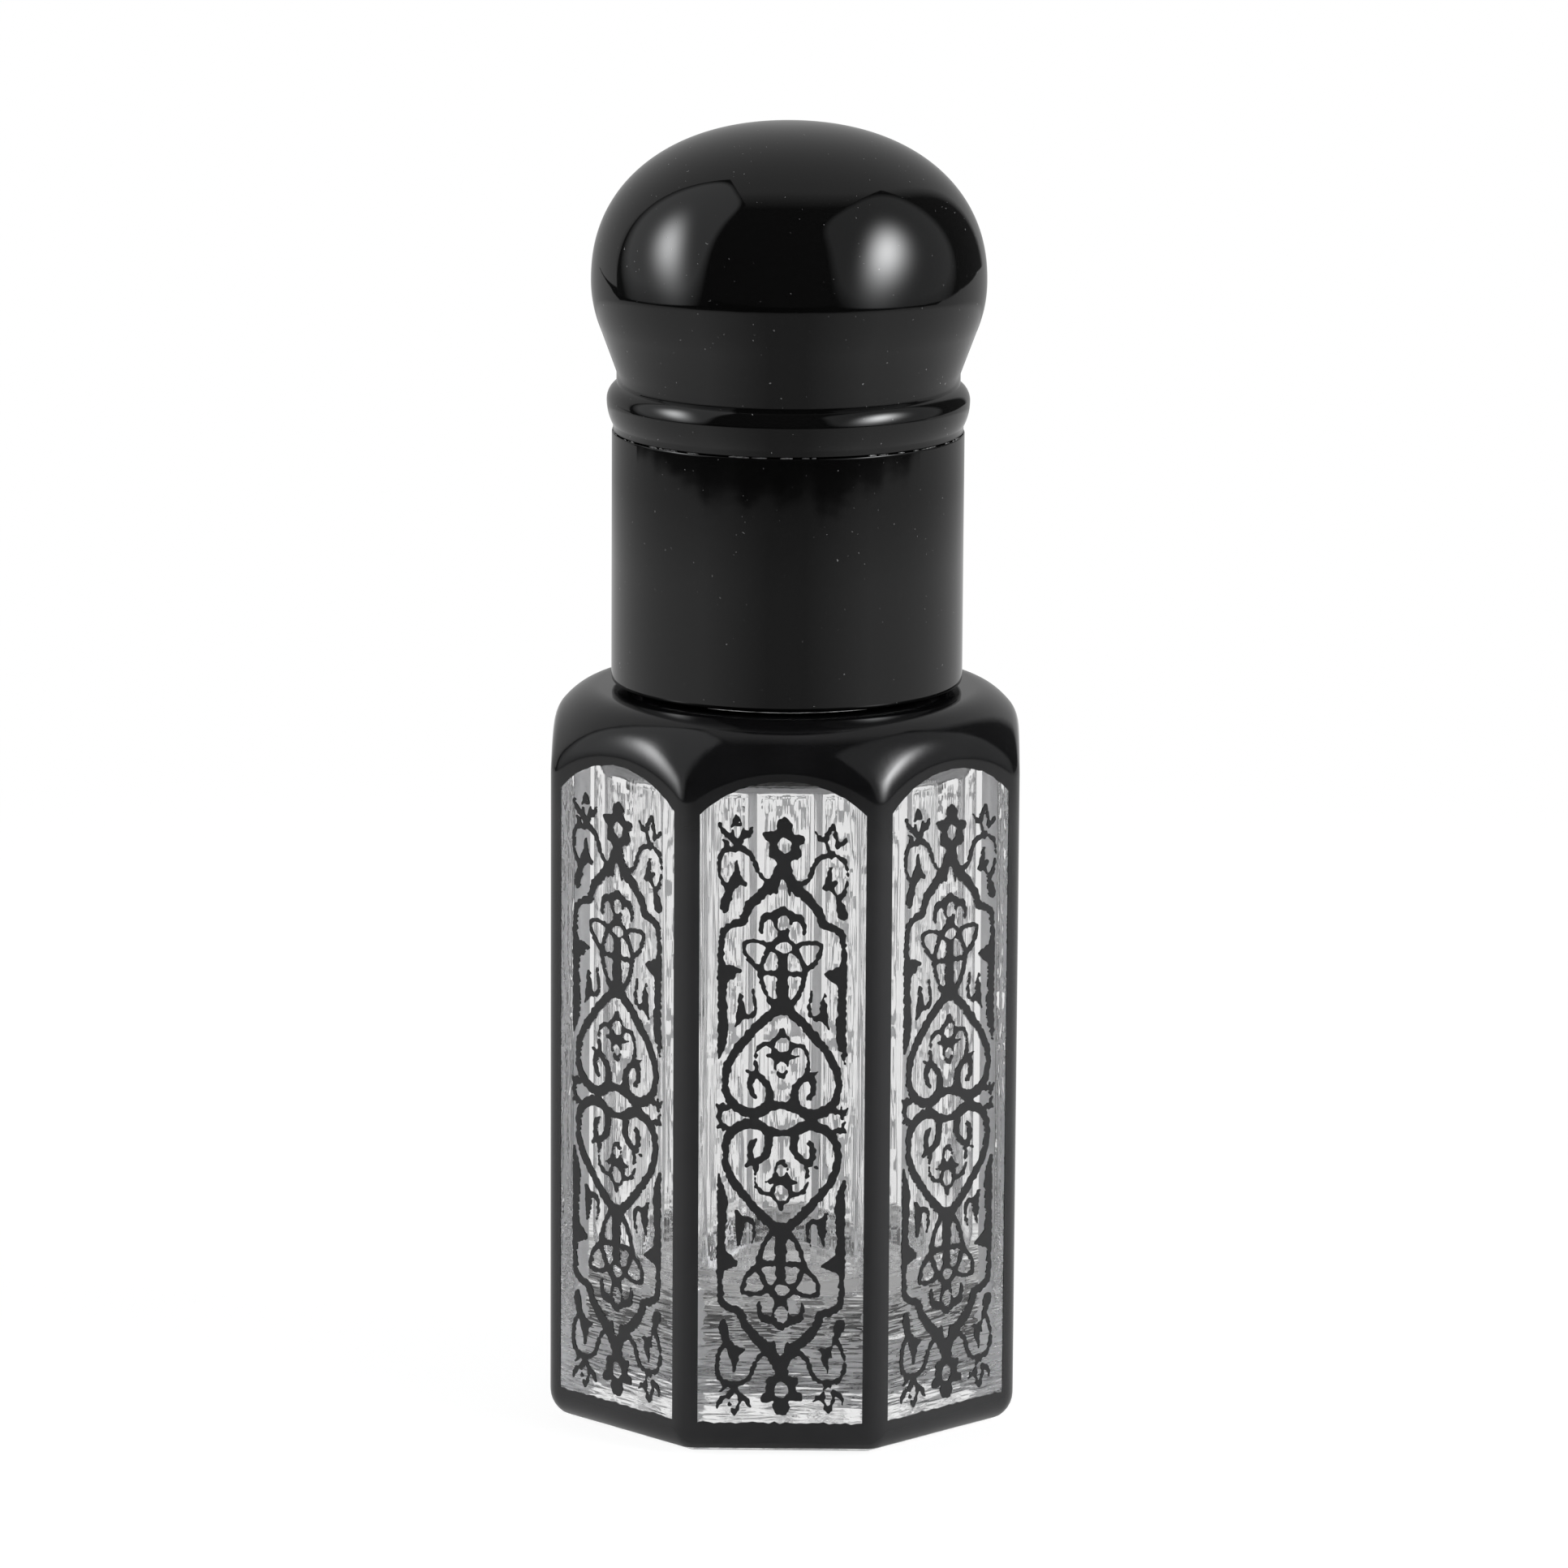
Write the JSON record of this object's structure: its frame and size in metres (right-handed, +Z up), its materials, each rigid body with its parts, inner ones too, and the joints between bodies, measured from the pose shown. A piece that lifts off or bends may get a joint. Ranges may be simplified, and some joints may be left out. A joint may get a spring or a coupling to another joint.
{
  "type": "essential oil bottle",
  "caption": "Octagonal clear glass oil bottle in black lacquer with arched windows on its facets, a roll-on ball in the neck and a domed screw cap.",
  "frame": {"origin": "middle of the bottle's base, on the surface it stands on", "axes": "+Z up along the bottle's axis, -Y towards the front facet, X across the facets"},
  "size_m": [0.025, 0.025, 0.0698],
  "materials": {
    "clear_glass": "polished clear pressed glass",
    "black_lacquer": "sprayed gloss lacquer",
    "natural_plastic": "moulded, uncoloured",
    "polished_steel": "polished",
    "sealing_foam": "matte foamed sheet",
    "black_moulded_plastic": "moulded satin",
    "black_gloss_plastic": "high gloss"
  },
  "bodies": {
    "bottle": {"glass_bottle": "clear_glass", "lacquer_coat": "black_lacquer", "roller_housing": "natural_plastic"},
    "ball": {"roller_ball": "polished_steel"},
    "seal": {"seal_wad": "sealing_foam"},
    "cap": {"cap_liner": "black_moulded_plastic", "cap_skirt": "black_gloss_plastic", "cap_dome": "black_gloss_plastic"}
  },
  "joints": [
    {"name": "roller_roll", "type": "hinge", "parent": "bottle", "child": "ball", "pos_m": [0, 0, 0.0489], "axis": [1, 0, 0], "continuous": true},
    {"name": "cap_rise", "type": "slide", "parent": "bottle", "child": "seal", "axis": [0, 0, 1], "range_m": [0, 0.0038]},
    {"name": "cap_turn", "type": "hinge", "parent": "seal", "child": "cap", "pos_m": [0, 0, 0.0465], "axis": [0, 0, 1], "range_deg": [0, 540]}
  ],
  "couplings": [
    {"joint": "cap_rise", "follows": "cap_turn", "m_per_rad": 0.00039789}
  ]
}
